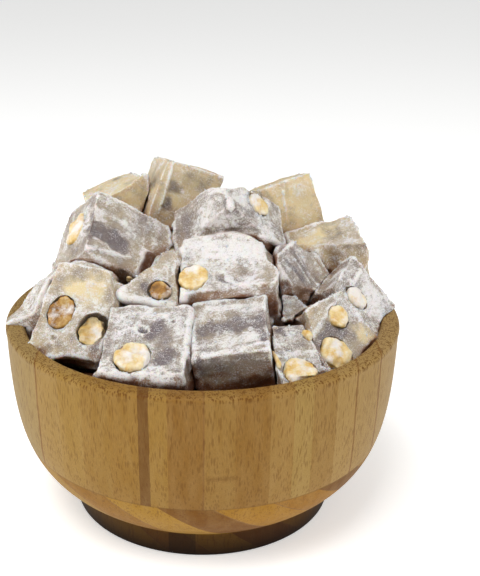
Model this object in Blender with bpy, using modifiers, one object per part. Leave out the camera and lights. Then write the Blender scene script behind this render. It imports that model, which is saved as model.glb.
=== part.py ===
# Turkish delight with roasted nuts, heaped in a turned bamboo bowl.
# Metres, +Z up: the bowl's foot stands on z = 0 and its axis is the Z axis.
import itertools
import math
import random

import bmesh
import bpy
from mathutils import Matrix, Vector, noise

mm = 0.001
gap = 0.3 * mm               # clearance that neighbouring solids keep

bowlRadius = 70.2 * mm       # outside, at the rim
bowlHeight = 71.7 * mm
wallThickness = 6.6 * mm
rimRound = 1.6 * mm
footRadius = 47.8 * mm
footHeight = 9.0 * mm
flareHeight = 13.6 * mm      # how quickly the outside swells above the foot
floorHeight = 15.0 * mm      # top of the bowl's floor
floorRadius = 38.0 * mm
hollowFlare = 12.0 * mm      # how quickly the hollow widens above the floor
turnSteps = 40               # facets around the bowl
moundSteps = 24              # and around the buried sweets

spaceHeight = 130 * mm       # the room for sweets reaches this high
moundHeight = 76 * mm        # top of the buried sweets, at the bowl's axis
moundEdge = 47 * mm          # where they meet the wall

sweetRounding = 11           # higher is squarer
rowSpread = 0.45             # below 1 moves the mesh rows towards the edges
swell = 0.035                # how far the sides wander, as a share of half a side
cornerTuck = 0.06            # how far corners draw in by chance
nutSegments = 10
nutRings = 6

bambooColor = (0.50, 0.33, 0.12)
dustedColor = (0.58, 0.54, 0.50)
bareColor = (0.57, 0.44, 0.27)
buriedColor = (0.33, 0.22, 0.12)
nutColor = (0.87, 0.72, 0.38)
roastedColor = (0.47, 0.26, 0.04)

# Each sweet: centre and sides in millimetres, then how it is turned about its own
# upright axis, rolled to the right and leaned towards the front, in degrees.
# Sweets higher in this list press their shape into the later ones that they touch.
sweets = [
    dict(name="sweet_front_centre", place=(11, -36, 69), size=(26, 31, 29), turn=0, roll=-9, lean=14),
    dict(name="sweet_front_left", place=(-17, -38, 67), size=(30, 33, 28), turn=-5, roll=-5, lean=20),
    dict(name="sweet_front_right", place=(28, -41, 63), size=(17, 28, 28), turn=15, roll=4, lean=18),
    dict(name="sweet_middle", place=(10, -9, 84), size=(34, 32, 25), turn=0, roll=-8, lean=22,
         tucks={(1, 1, 1): 0.24}),
    dict(name="sweet_right_front", place=(41, -25, 68), size=(28, 28, 24), turn=39, roll=26, lean=40),
    dict(name="sweet_left_front", place=(-40, -17, 75), size=(28, 34, 24), turn=-17, roll=-12, lean=50),
    dict(name="sweet_upper_left", place=(-34, 8, 92), size=(31, 27, 28), turn=-12, roll=34, lean=48),
    dict(name="sweet_upper_middle", place=(10, 13, 98), size=(32, 20, 29), turn=9, roll=46, lean=35),
    dict(name="sweet_middle_left", place=(-12, -8, 83), size=(26, 25, 25), turn=-16, roll=5, lean=46),
    dict(name="sweet_right_side", place=(51, -2, 70), size=(28, 28, 25), turn=58, roll=37, lean=28),
    dict(name="sweet_right_gap", place=(27, -20, 70), size=(20, 20, 20), turn=28, roll=10, lean=17),
    dict(name="sweet_middle_right", place=(29, 4, 79), size=(26, 26, 26), turn=48, roll=44, lean=37),
    dict(name="sweet_upper_right", place=(49, 18, 82), size=(27, 31, 24), turn=7, roll=-15, lean=11),
    dict(name="sweet_left_side", place=(-51, -4, 71), size=(29, 22, 29), turn=0, roll=45, lean=0),
    dict(name="sweet_top", place=(-10, 40, 103), size=(25, 27, 27), turn=17, roll=19, lean=-16),
    dict(name="sweet_back_right", place=(34, 44, 96), size=(22, 26, 26), turn=8, roll=-20, lean=-12),
    dict(name="sweet_back_left", place=(-31, 39, 94), size=(24, 27, 30), turn=14, roll=-19, lean=0),
    dict(name="sweet_deep_middle", place=(-9, 17, 80), size=(24, 26, 26), turn=18, roll=13, lean=6),
    dict(name="sweet_rear_centre", place=(6, 46, 77), size=(29, 26, 26), turn=12, roll=-4, lean=-8),
    dict(name="sweet_rear_left", place=(-23, 45, 76), size=(28, 26, 24), turn=-18, roll=6, lean=-6),
    dict(name="sweet_rear_right", place=(34, 39, 73), size=(28, 26, 24), turn=-30, roll=4, lean=-4),
    dict(name="sweet_rear_left_side", place=(-41, 27, 70), size=(27, 26, 24), turn=35, roll=-4, lean=8),
    dict(name="sweet_rear_right_side", place=(53, 16, 62), size=(16, 26, 22), turn=16, roll=5, lean=0),
    dict(name="sweet_back_gap", place=(26, 26, 84), size=(25, 22, 25), turn=-20, roll=12, lean=-6),
]
bareSweets = {"sweet_top", "sweet_back_right", "sweet_back_left", "sweet_deep_middle"}

# Each nut: the sweet that holds it, the middle of its cut face on that sweet's top, its width,
# length and depth, and how deep the cut face lies, all in millimetres. One shows at the left side.
nuts = [
    dict(name="nut_front_left", host="sweet_front_left", at=(-3.2, -8.4), size=(11, 11.5, 11), sunk=0.4),
    dict(name="nut_middle", host="sweet_middle", at=(-11.6, -5.6), size=(9.5, 12, 11), sunk=0.7),
    dict(name="nut_middle_left", host="sweet_middle_left", at=(-1.7, -6.5), size=(7, 6, 7), sunk=1),
    dict(name="nut_upper_left", host="sweet_upper_left", at=(0.6, 1.2), size=(11, 12, 10), sunk=0.6,
         side="left"),
    dict(name="nut_left_front_roasted", host="sweet_left_front", at=(-5, -2), size=(9, 11.5, 10), sunk=1.4),
    dict(name="nut_left_front_broken", host="sweet_left_front", at=(6.6, -5.3), size=(9.5, 11.5, 11),
         sunk=2.6),
    dict(name="nut_front_right", host="sweet_front_right", at=(-0.4, -8.2), size=(10, 10.5, 11), sunk=0.8),
    dict(name="nut_right_front_upper", host="sweet_right_front", at=(3.8, 5.5), size=(7.5, 7.5, 8), sunk=0.6),
    dict(name="nut_right_front_lower", host="sweet_right_front", at=(-6.6, -4.5), size=(11, 11.5, 11),
         sunk=0.6),
    dict(name="nut_right_side", host="sweet_right_side", at=(-3.8, 3.2), size=(7.7, 9, 8), sunk=0.5),
    dict(name="nut_upper_middle", host="sweet_upper_middle", at=(1.8, 4.6), size=(9, 8.5, 10), sunk=0.7),
]
roastedNuts = {"nut_left_front_roasted", "nut_middle_left"}
toLeftSide = Matrix.Rotation(-math.pi / 2, 3, "Y")


def clearScene():
    for thing in list(bpy.data.objects):
        bpy.data.objects.remove(thing, do_unlink=True)


def newCollection(name):
    collection = bpy.data.collections.new(name)
    bpy.context.scene.collection.children.link(collection)
    return collection


def newMaterial(name, color, roughness):
    material = bpy.data.materials.new(name)
    material.use_nodes = True
    shader = material.node_tree.nodes["Principled BSDF"]
    shader.inputs["Base Color"].default_value = (*color, 1)
    shader.inputs["Roughness"].default_value = roughness
    material.diffuse_color = (*color, 1)
    return material


def meshObject(name, bm, collection, material=None):
    mesh = bpy.data.meshes.new(name)
    bm.to_mesh(mesh)
    bm.free()
    thing = bpy.data.objects.new(name, mesh)
    collection.objects.link(thing)
    if material:
        mesh.materials.append(material)
    return thing


def asCutter(thing):
    thing.hide_render = True
    thing.display_type = "WIRE"
    return thing


def addBoolean(thing, operation, cutter):
    modifier = thing.modifiers.new(operation.title(), "BOOLEAN")
    modifier.operation = operation
    modifier.solver = "EXACT"
    modifier.object = cutter


# ---- turned shapes ----

def outsideRadius(z):
    return bowlRadius - (bowlRadius - footRadius) * math.exp(-(z - footHeight) / flareHeight)


def hollowRadius(z):
    rimInside = bowlRadius - wallThickness
    return rimInside - (rimInside - floorRadius) * math.exp(-(z - floorHeight) / hollowFlare)


def heights(low, high, count):
    # closer together near the low end, where the curves turn fastest
    return [low + (high - low) * (i / count) ** 1.7 for i in range(count + 1)]


def arc(centre, radius, start, end, count):
    angles = [math.radians(start + (end - start) * i / count) for i in range(count + 1)]
    return [(centre[0] + radius * math.cos(a), centre[1] + radius * math.sin(a)) for a in angles]


def turned(name, profile, collection, material=None, steps=turnSteps):
    bm = bmesh.new()
    points = [bm.verts.new((r, 0, z)) for r, z in profile]
    for first, second in zip(points, points[1:]):
        bm.edges.new((first, second))
    thing = meshObject(name, bm, collection, material)
    screw = thing.modifiers.new("Turn", "SCREW")
    screw.steps = steps
    screw.render_steps = steps
    screw.use_merge_vertices = True
    screw.merge_threshold = 0.00005
    return thing


def hollowProfile(top, clearance, count):
    # the hollow's wall from the floor's edge up to a height, drawn in by a clearance
    return [(hollowRadius(z) - clearance, z + clearance) for z in heights(floorHeight, top, count)]


def makeBowl(collection, material):
    rimInside = bowlRadius - wallThickness
    straightTop = bowlHeight - rimRound
    inside = [(0, floorHeight)] + hollowProfile(straightTop, 0, 6)
    rim = (arc((rimInside + rimRound, straightTop), rimRound, 150, 90, 2)
           + arc((bowlRadius - rimRound, straightTop), rimRound, 90, 0, 3))
    outside = [(outsideRadius(z), z) for z in reversed(heights(footHeight, straightTop - mm, 9))]
    foot = [(footRadius, 0.8 * mm), (footRadius - 0.8 * mm, 0), (0, 0)]
    return turned("bowl", inside + rim + outside + foot, collection, material)


def makeRoom(cutters):
    # everything that the sweets may fill: the hollow, and the space above the rim
    top = bowlHeight + gap
    profile = [(0, spaceHeight), (bowlRadius - gap, spaceHeight), (bowlRadius - gap, top)]
    wall = hollowProfile(top - gap, gap, 6)
    profile += [(wall[-1][0], top)] + list(reversed(wall[:-1])) + [(0, floorHeight + gap)]
    return asCutter(turned("room_for_sweets", profile, cutters))


# ---- sweets ----

def sweetMatrix(sweet):
    turn = Matrix.Rotation(math.radians(sweet["turn"]), 4, "Z")
    roll = Matrix.Rotation(math.radians(sweet["roll"]), 4, "Y")
    lean = Matrix.Rotation(math.radians(sweet["lean"]), 4, "X")
    return Matrix.Translation(Vector(sweet["place"]) * mm) @ lean @ roll @ turn


def softened(point, tucks, offset):
    # a point of the cube from -1 to 1, moved to the rounded, uneven side of a sweet
    spread = Vector([math.copysign(abs(c) ** rowSpread, c) for c in point])
    roundness = sum(abs(c) ** sweetRounding for c in spread) ** (1 / sweetRounding)
    drawnIn = sum(amount * math.prod((1 + s * c) / 2 for s, c in zip(corner, spread))
                  for corner, amount in tucks.items())
    wander = swell * (0.5 + 0.5 * noise.noise(spread * 1.1 + offset))
    return spread / max(roundness, 1) * (1 - drawnIn - wander)


def shapeSweet(sweet, index):
    chance = random.Random(index)
    tucks = {corner: chance.uniform(0, cornerTuck) for corner in itertools.product((-1, 1), repeat=3)}
    tucks.update(sweet.get("tucks", {}))
    offset = Vector((7.3 * index, 3.1 * index, 0))
    half = Vector(sweet["size"]) * mm / 2
    bm = bmesh.new()
    bmesh.ops.create_cube(bm, size=2)
    bmesh.ops.subdivide_edges(bm, edges=bm.edges[:], cuts=3, use_grid_fill=True)
    for vert in bm.verts:
        vert.co = softened(vert.co, tucks, offset) * half
    return bm


def boxAxes(matrix):
    return [matrix.to_3x3().col[i].normalized() for i in range(3)]


def boxCorners(sweet, matrix):
    half = Vector(sweet["size"]) * mm / 2
    return [matrix @ Vector([s * h for s, h in zip(signs, half)])
            for signs in itertools.product((-1, 1), repeat=3)]


def touching(cornersA, axesA, pointsB, axesB):
    # no direction separates the two by the gap
    crossed = [a.cross(b) for a in axesA for b in axesB if a.cross(b).length > 0.05]
    for axis in axesA + axesB + [c.normalized() for c in crossed]:
        spanA = [p.dot(axis) for p in cornersA]
        spanB = [p.dot(axis) for p in pointsB]
        if min(spanA) > max(spanB) + gap or min(spanB) > max(spanA) + gap:
            return False
    return True


def pressedAgainst(bm, matrix, firmer, firmerMatrix):
    # flatten a sweet where it meets a firmer one, at the side with the least overlap
    corners = boxCorners(firmer, firmerMatrix)
    points = [matrix @ vert.co for vert in bm.verts]
    if not touching(corners, boxAxes(firmerMatrix), points, boxAxes(matrix)):
        return
    sides = [axis * sign for axis in boxAxes(firmerMatrix) for sign in (-1, 1)]
    faces = [(max(c.dot(side) for c in corners), side) for side in sides]
    depth, face, side = min(((face - min(p.dot(side) for p in points), face, side) for face, side in faces),
                            key=lambda choice: choice[0])
    inverse = matrix.inverted()
    cutPoint = inverse @ (side * (face + gap))
    cutNormal = (inverse.to_3x3() @ side).normalized()
    geometry = bm.verts[:] + bm.edges[:] + bm.faces[:]
    cut = bmesh.ops.bisect_plane(bm, geom=geometry, plane_co=cutPoint, plane_no=cutNormal, clear_inner=True)
    rimEdges = [e for e in cut["geom_cut"] if isinstance(e, bmesh.types.BMEdge)]
    bmesh.ops.contextual_create(bm, geom=rimEdges)


def outsideRoom(point):
    reach = math.hypot(point.x, point.y)
    if point.z > bowlHeight + gap:
        return reach > bowlRadius - gap
    return reach > (hollowRadius(point.z) - 2 * gap) * math.cos(math.pi / turnSteps)


def keepInRoom(thing, matrix, room):
    if any(outsideRoom(matrix @ vert.co) for vert in thing.data.vertices):
        addBoolean(thing, "INTERSECT", room)


def makeSweets(collection, room, dusted, bare):
    made = {}
    matrices = [sweetMatrix(sweet) for sweet in sweets]
    for index, sweet in enumerate(sweets):
        bm = shapeSweet(sweet, index)
        for firmer in range(index):
            pressedAgainst(bm, matrices[index], sweets[firmer], matrices[firmer])
        material = bare if sweet["name"] in bareSweets else dusted
        thing = meshObject(sweet["name"], bm, collection, material)
        thing.rotation_mode = "ZYX"
        thing.location = matrices[index].translation
        thing.rotation_euler = [math.radians(sweet[key]) for key in ("lean", "roll", "turn")]
        keepInRoom(thing, matrices[index], room)
        made[sweet["name"]] = thing
    return made


# ---- nuts ----

def nutMesh(size, growth, cutHeight=None):
    bm = bmesh.new()
    bmesh.ops.create_uvsphere(bm, u_segments=nutSegments, v_segments=nutRings, radius=1)
    scale = Vector([s * mm / 2 + growth for s in size])
    bmesh.ops.scale(bm, vec=scale, verts=bm.verts[:])
    if cutHeight is not None:
        geometry = bm.verts[:] + bm.edges[:] + bm.faces[:]
        cut = bmesh.ops.bisect_plane(bm, geom=geometry, plane_co=(0, 0, cutHeight), plane_no=(0, 0, 1),
                                     clear_outer=True)
        rimEdges = [e for e in cut["geom_cut"] if isinstance(e, bmesh.types.BMEdge)]
        bmesh.ops.contextual_create(bm, geom=rimEdges)
    return bm


def makeNut(nut, host, hostSize, hostMatrix, room, collection, cutters, material):
    showsLeft = nut.get("side") == "left"
    turn = toLeftSide if showsLeft else Matrix.Identity(3)
    reach = hostSize[0] if showsLeft else hostSize[2]
    buried = 0.12 * nut["size"][2]      # the nut's middle lies this far below its cut face
    outward = turn @ Vector((0, 0, reach / 2 - nut["sunk"] - buried))
    across = turn @ Vector((*nut["at"], 0))
    nutObject = meshObject(nut["name"], nutMesh(nut["size"], 0, buried * mm), collection, material)
    pocket = asCutter(meshObject("pocket_" + nut["name"], nutMesh(nut["size"], gap * 1.15), cutters))
    for thing in (nutObject, pocket):
        thing.parent = host
        thing.location = (outward + across) * mm
        thing.rotation_euler = turn.to_euler()
    addBoolean(host, "DIFFERENCE", pocket)
    place = Matrix.Translation((outward + across) * mm) @ turn.to_4x4()
    keepInRoom(nutObject, hostMatrix @ place, room)


# ---- buried sweets ----

def moundProfile():
    clearance = 2 * gap
    edge = hollowRadius(moundEdge) - clearance
    crown = [(edge * math.sin(a), moundEdge + (moundHeight - moundEdge) * math.cos(a))
             for a in (math.radians(90 * i / 6) for i in range(7))]
    wall = list(reversed(hollowProfile(moundEdge, clearance, 5)))[1:]
    return crown + wall + [(0, floorHeight + clearance)]


def makeBuried(collection, cutters, material):
    raw = turned("buried_sweets_raw", moundProfile(), cutters, steps=moundSteps)
    presses = newCollection("presses")
    for sweet in sweets:
        bm = bmesh.new()
        bmesh.ops.create_cube(bm, size=1)
        grown = Vector(sweet["size"]) * mm + Vector((2 * gap, 2 * gap, 2 * gap))
        bmesh.ops.scale(bm, vec=grown, verts=bm.verts[:])
        bmesh.ops.transform(bm, matrix=sweetMatrix(sweet), verts=bm.verts[:])
        asCutter(meshObject("press_" + sweet["name"], bm, presses))
    modifier = raw.modifiers.new("Press", "BOOLEAN")
    modifier.operation = "DIFFERENCE"
    modifier.solver = "EXACT"
    modifier.operand_type = "COLLECTION"
    modifier.collection = presses
    evaluated = raw.evaluated_get(bpy.context.evaluated_depsgraph_get())
    bm = bmesh.new()
    bm.from_mesh(evaluated.to_mesh())
    keepLargest(bm)
    for thing in list(presses.objects) + [raw]:
        bpy.data.objects.remove(thing, do_unlink=True)
    bpy.data.collections.remove(presses)
    return meshObject("buried_sweets", bm, collection, material)


def keepLargest(bm):
    # crumbs that the presses cut off the mound are dropped
    bm.verts.ensure_lookup_table()
    left = set(bm.verts)
    islands = []
    while left:
        island = set()
        edge = [left.pop()]
        while edge:
            vert = edge.pop()
            island.add(vert)
            for link in vert.link_edges:
                other = link.other_vert(vert)
                if other in left:
                    left.remove(other)
                    edge.append(other)
        islands.append(island)
    largest = max(islands, key=len)
    bmesh.ops.delete(bm, geom=[v for v in bm.verts if v not in largest], context="VERTS")


def main():
    clearScene()
    collection = newCollection("turkish delight in bamboo bowl")
    cutters = newCollection("cutters")
    bamboo = newMaterial("turned bamboo", bambooColor, 0.45)
    dusted = newMaterial("starch gel dusted with icing sugar", dustedColor, 0.85)
    bare = newMaterial("starch gel thinly dusted", bareColor, 0.5)
    buriedGel = newMaterial("starch gel in shade", buriedColor, 0.7)
    nutFlesh = newMaterial("cut nut", nutColor, 0.6)
    roasted = newMaterial("roasted nut", roastedColor, 0.45)

    makeBowl(collection, bamboo)
    room = makeRoom(cutters)
    made = makeSweets(collection, room, dusted, bare)
    hosts = {sweet["name"]: sweet for sweet in sweets}
    for nut in nuts:
        host = hosts[nut["host"]]
        material = roasted if nut["name"] in roastedNuts else nutFlesh
        makeNut(nut, made[nut["host"]], host["size"], sweetMatrix(host), room, collection, cutters, material)
    makeBuried(collection, cutters, buriedGel)


main()
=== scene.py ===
# Turkish delight in a turned bamboo bowl: the looks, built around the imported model.
# Metres, +Z up. Everything rides on the one body, "root".
import math
import random

import bmesh
import bpy
import numpy as np
from mathutils import Matrix, Vector, kdtree, noise
from mathutils.bvhtree import BVHTree


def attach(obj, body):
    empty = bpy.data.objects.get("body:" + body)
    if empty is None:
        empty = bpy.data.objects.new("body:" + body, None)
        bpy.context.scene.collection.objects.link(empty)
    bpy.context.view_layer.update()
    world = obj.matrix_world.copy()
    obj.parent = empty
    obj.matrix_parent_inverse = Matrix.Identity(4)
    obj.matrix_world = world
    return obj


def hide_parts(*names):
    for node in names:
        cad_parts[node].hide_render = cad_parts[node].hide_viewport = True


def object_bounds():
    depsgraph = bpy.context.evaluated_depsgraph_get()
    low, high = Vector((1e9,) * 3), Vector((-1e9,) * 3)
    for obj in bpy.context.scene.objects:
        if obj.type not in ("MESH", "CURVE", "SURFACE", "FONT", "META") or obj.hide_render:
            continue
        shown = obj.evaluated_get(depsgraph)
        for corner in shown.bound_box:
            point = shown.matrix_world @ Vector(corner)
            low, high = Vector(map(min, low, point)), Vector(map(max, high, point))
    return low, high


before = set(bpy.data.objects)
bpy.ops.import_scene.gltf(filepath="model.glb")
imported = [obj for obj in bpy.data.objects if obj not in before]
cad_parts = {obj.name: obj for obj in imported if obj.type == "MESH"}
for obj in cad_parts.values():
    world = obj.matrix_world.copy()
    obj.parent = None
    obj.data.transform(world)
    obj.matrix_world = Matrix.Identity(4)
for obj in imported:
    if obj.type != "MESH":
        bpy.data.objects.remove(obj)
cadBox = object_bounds()
mm = 0.001
print("frame loaded:", len(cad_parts), "solids")


# ---- small helpers ----

def fromHex(value):
    # "#rrggbb" in sRGB to linear RGBA
    parts = [int(value[i:i + 2], 16) / 255 for i in (1, 3, 5)]
    return (*[c / 12.92 if c <= 0.04045 else ((c + 0.055) / 1.055) ** 2.4 for c in parts], 1)


def addNode(tree, kind, inputs=None, stops=None, **settings):
    # adds one shader node; an input is a number, a hex colour or another node's output
    node = tree.nodes.new("ShaderNode" + kind)
    for key, value in settings.items():
        setattr(node, key, value)
    if stops:
        ramp = node.color_ramp
        while len(ramp.elements) < len(stops):
            ramp.elements.new(1)
        for element, (place, color) in zip(ramp.elements, stops):
            element.position = place
            element.color = fromHex(color)
    for socket, value in (inputs or {}).items():
        target = node.inputs[socket]
        if isinstance(value, bpy.types.NodeSocket):
            tree.links.new(value, target)
        elif isinstance(value, str):
            target.default_value = fromHex(value)
        else:
            target.default_value = value
    return node.outputs


def newMaterial(name, **shader):
    material = bpy.data.materials.new(name)
    material.use_nodes = True
    tree = material.node_tree
    principled = tree.nodes["Principled BSDF"]
    for socket, value in shader.items():
        principled.inputs[socket.replace("_", " ")].default_value = value
    return material, tree, principled


def newPiece(name, mesh, material, node=None):
    piece = bpy.data.objects.new(name, mesh)
    bpy.context.scene.collection.objects.link(piece)
    mesh.materials.clear()
    mesh.materials.append(material)
    mesh.shade_smooth()
    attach(piece, "root")
    if node:
        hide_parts(node)
    return piece


def evaluatedMesh(thing):
    graph = bpy.context.evaluated_depsgraph_get()
    mesh = bpy.data.meshes.new_from_object(thing.evaluated_get(graph))
    bpy.data.objects.remove(thing, do_unlink=True)
    return mesh


def remeshed(node, voxel):
    # a copy of a solid, rebuilt from small even faces that can be worked like dough
    copy = bpy.data.objects.new("work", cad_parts[node].data.copy())
    bpy.context.scene.collection.objects.link(copy)
    modifier = copy.modifiers.new("Even faces", "REMESH")
    modifier.mode = "VOXEL"
    modifier.voxel_size = voxel * mm
    return evaluatedMesh(copy)


class Surface:
    # the points, normals and neighbours of a mesh as arrays
    def __init__(self, mesh):
        self.mesh = mesh
        self.count = len(mesh.vertices)
        self.points = self.read("co")
        edges = np.empty(len(mesh.edges) * 2, np.int32)
        mesh.edges.foreach_get("vertices", edges)
        self.ends = edges.reshape(-1, 2)
        self.links = np.bincount(self.ends.ravel(), minlength=self.count)[:, None]

    def read(self, what):
        flat = np.empty(self.count * 3, np.float32)
        self.mesh.vertices.foreach_get(what, flat)
        return flat.reshape(-1, 3).astype(float)

    def smoothed(self, values, rounds, amount=0.6):
        values = values.reshape(self.count, -1).copy()
        first, second = self.ends.T
        for _ in range(rounds):
            near = np.empty_like(values)
            for column in range(values.shape[1]):
                near[:, column] = (np.bincount(first, values[second, column], self.count)
                                   + np.bincount(second, values[first, column], self.count))
            values += amount * (near / self.links - values)
        return values

    def write(self, points):
        self.points = points
        self.mesh.vertices.foreach_set("co", points.astype(np.float32).ravel())
        self.mesh.update()

    def normals(self):
        return self.read("normal")

    def crests(self, reach):
        # how far each point stands out of its smoothed surroundings, in millimetres
        soft = self.smoothed(self.points, reach)
        return ((self.points - soft) * self.normals()).sum(1) / mm

    def paint(self, name, values):
        values = np.asarray(values, np.float32)
        kind = "FLOAT_VECTOR" if values.ndim == 2 else "FLOAT"
        attribute = self.mesh.attributes.new(name, kind, "POINT")
        attribute.data.foreach_set("vector" if values.ndim == 2 else "value", values.ravel())


def noiseAt(points, size, seed=0):
    # smooth noise from -1 to 1 with lumps of about that size
    offset = Vector((seed * 7.13, seed * 3.71, seed * 5.37))
    return np.array([noise.noise(Vector(p) / size + offset) for p in points])


def fractalAt(points, size, seed=0, octaves=4):
    offset = Vector((seed * 7.13, seed * 3.71, seed * 5.37))
    return np.array([noise.fractal(Vector(p) / size + offset, 0.8, 2.1, octaves) for p in points])


def ease(values):
    values = np.clip(values, 0, 1)
    return values * values * (3 - 2 * values)


# ---- camera, lights and floor ----

studio = dict(cameraAt=(0, -330, 206), cameraLooks=(0, 0, 80), lens=41, filmHeight=24, shiftSide=0.065,
              floorSize=6000, floorColor="#fbfbfa", floorGlow=0.42, roomLight=0.36, roomColor="#ffffff")
lamps = [   # place and aim in millimetres, size of the soft box, watts
    dict(name="softbox_above", at=(-260, -420, 1150), aim=(0, 0, 70), size=620, watts=9.5),
    dict(name="softbox_right", at=(620, -260, 330), aim=(0, 0, 60), size=300, watts=1.3),
    dict(name="softbox_left", at=(-620, -200, 260), aim=(0, 0, 50), size=300, watts=1.1),
]


def lookAt(thing, place, aim):
    thing.location = Vector(place) * mm
    thing.rotation_euler = ((Vector(aim) - Vector(place))).to_track_quat("-Z", "Y").to_euler()


def makeStudio():
    scene = bpy.context.scene
    scene.view_settings.view_transform = "Standard"
    camera = bpy.data.objects.new("camera", bpy.data.cameras.new("camera"))
    scene.collection.objects.link(camera)
    lookAt(camera, studio["cameraAt"], studio["cameraLooks"])
    camera.data.sensor_fit = "VERTICAL"
    camera.data.sensor_height = studio["filmHeight"]
    camera.data.lens = studio["lens"]
    camera.data.shift_x = studio["shiftSide"]
    camera.data.clip_start = 0.01
    scene.camera = camera
    for lamp in lamps:
        light = bpy.data.objects.new(lamp["name"], bpy.data.lights.new(lamp["name"], "AREA"))
        light.data.size = lamp["size"] * mm
        light.data.energy = lamp["watts"]
        lookAt(light, lamp["at"], lamp["aim"])
        scene.collection.objects.link(light)
    scene.world = bpy.data.worlds.new("white room")
    scene.world.use_nodes = True
    background = scene.world.node_tree.nodes["Background"]
    background.inputs["Color"].default_value = fromHex(studio["roomColor"])
    background.inputs["Strength"].default_value = studio["roomLight"]
    # matt painted board lit from behind, as a product table is: no gloss, hardly any shadow
    board, tree, shader = newMaterial("matt painted board", Roughness=0.9, Emission_Strength=studio["floorGlow"])
    shader.inputs["Emission Color"].default_value = fromHex(studio["floorColor"])
    shader.inputs["Base Color"].default_value = fromHex(studio["floorColor"])
    bm = bmesh.new()
    bmesh.ops.create_grid(bm, x_segments=8, y_segments=8, size=studio["floorSize"] * mm)
    mesh = bpy.data.meshes.new("studio_floor")
    bm.to_mesh(mesh)
    bm.free()
    floor = bpy.data.objects.new("studio_floor", mesh)
    mesh.materials.append(board)
    scene.collection.objects.link(floor)


# ---- bowl ----

bowl = dict(
    radius=70.2, height=71.7, wall=6.6, rimRound=1.6, footRadius=47.8, footHeight=9.0, flareHeight=13.6,
    floorHeight=15.0, floorRadius=38.0, hollowFlare=12.0, turnSteps=224, knuckleAt=(6.0, 43.0),
    # left edges of the upright strips across the bowl in millimetres, and their colours
    strips=[(-72, "#a38752"), (-54, "#a78549"), (-46, "#a37f3e"), (-38, "#9c7636"), (-29, "#9b7332"),
            (-20, "#754e1e"), (-16.6, "#a07937"), (-11, "#92682d"), (0, "#9b7437"), (10, "#956c30"),
            (20.5, "#a17b3f"), (28, "#a88749"), (34, "#9e793e"), (42, "#aa884e"), (49, "#a8874f"),
            (58, "#ab8c58")],
    glueColor="#8c6230", glueWidth=0.22,
    # the same along the slanting strips of the base block
    baseStrips=[(-72, "#a57c28"), (-40, "#96681c"), (-27, "#ab7f29"), (-12, "#7c4e0c"), (4, "#a8771d"),
                (22, "#9e6d1d"), (37, "#764b0c"), (52, "#966c1e")],
    # painted shade: the two foot tones below darken the foot for the shadow under the bowl
    seamHeight=30.0, footShadeColor="#301401", footShadeDark="#120500", fibreSpacing=0.62)


def bowlOutside(z):
    return bowl["radius"] - (bowl["radius"] - bowl["footRadius"]) * math.exp(
        -(z - bowl["footHeight"]) / bowl["flareHeight"])


def bowlInside(z):
    rim = bowl["radius"] - bowl["wall"]
    return rim - (rim - bowl["floorRadius"]) * math.exp(-(z - bowl["floorHeight"]) / bowl["hollowFlare"])


def arc(middle, radius, start, end, count):
    angles = [math.radians(start + (end - start) * i / count) for i in range(count + 1)]
    return [(middle[0] + radius * math.cos(a), middle[1] + radius * math.sin(a)) for a in angles]


def between(low, high, count):
    return [low + (high - low) * (i / count) ** 1.4 for i in range(count + 1)]


def bowlProfile():
    # half of the bowl's cross-section, from the middle of the hollow to the middle of the foot
    straightTop = bowl["height"] - bowl["rimRound"]
    rimInside = bowl["radius"] - bowl["wall"]
    inside = [(0, bowl["floorHeight"]), (bowl["floorRadius"] * 0.6, bowl["floorHeight"])]
    inside += [(bowlInside(z), z) for z in between(bowl["floorHeight"], straightTop, 26)]
    rim = arc((rimInside + bowl["rimRound"], straightTop), bowl["rimRound"], 165, 90, 6)
    rim += arc((bowl["radius"] - bowl["rimRound"], straightTop), bowl["rimRound"], 90, 0, 6)
    outside = [(bowlOutside(z), z) for z in reversed(between(bowl["footHeight"], straightTop - 1, 44))]
    foot = [(bowl["footRadius"] - 0.25, bowl["footHeight"] - 0.4)]
    foot += [(bowl["footRadius"], z) for z in (7.5, 6, 4.5, 3, 1.6)]
    foot += arc((bowl["footRadius"] - 0.8, 0.8), 0.8, 0, -90, 4)
    foot += [(bowl["footRadius"] - 3, 0), (0, 0)]
    return inside + rim + outside + foot


def stripStops(strips, width):
    # colours of the strips, with a thin glue line before each one
    stops = [(0, strips[0][1])]
    for edge, color in strips[1:]:
        stops.append(((edge + 72) / 144 - width / 288, bowl["glueColor"]))
        stops.append(((edge + 72) / 144 + width / 288, color))
    return stops


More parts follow.
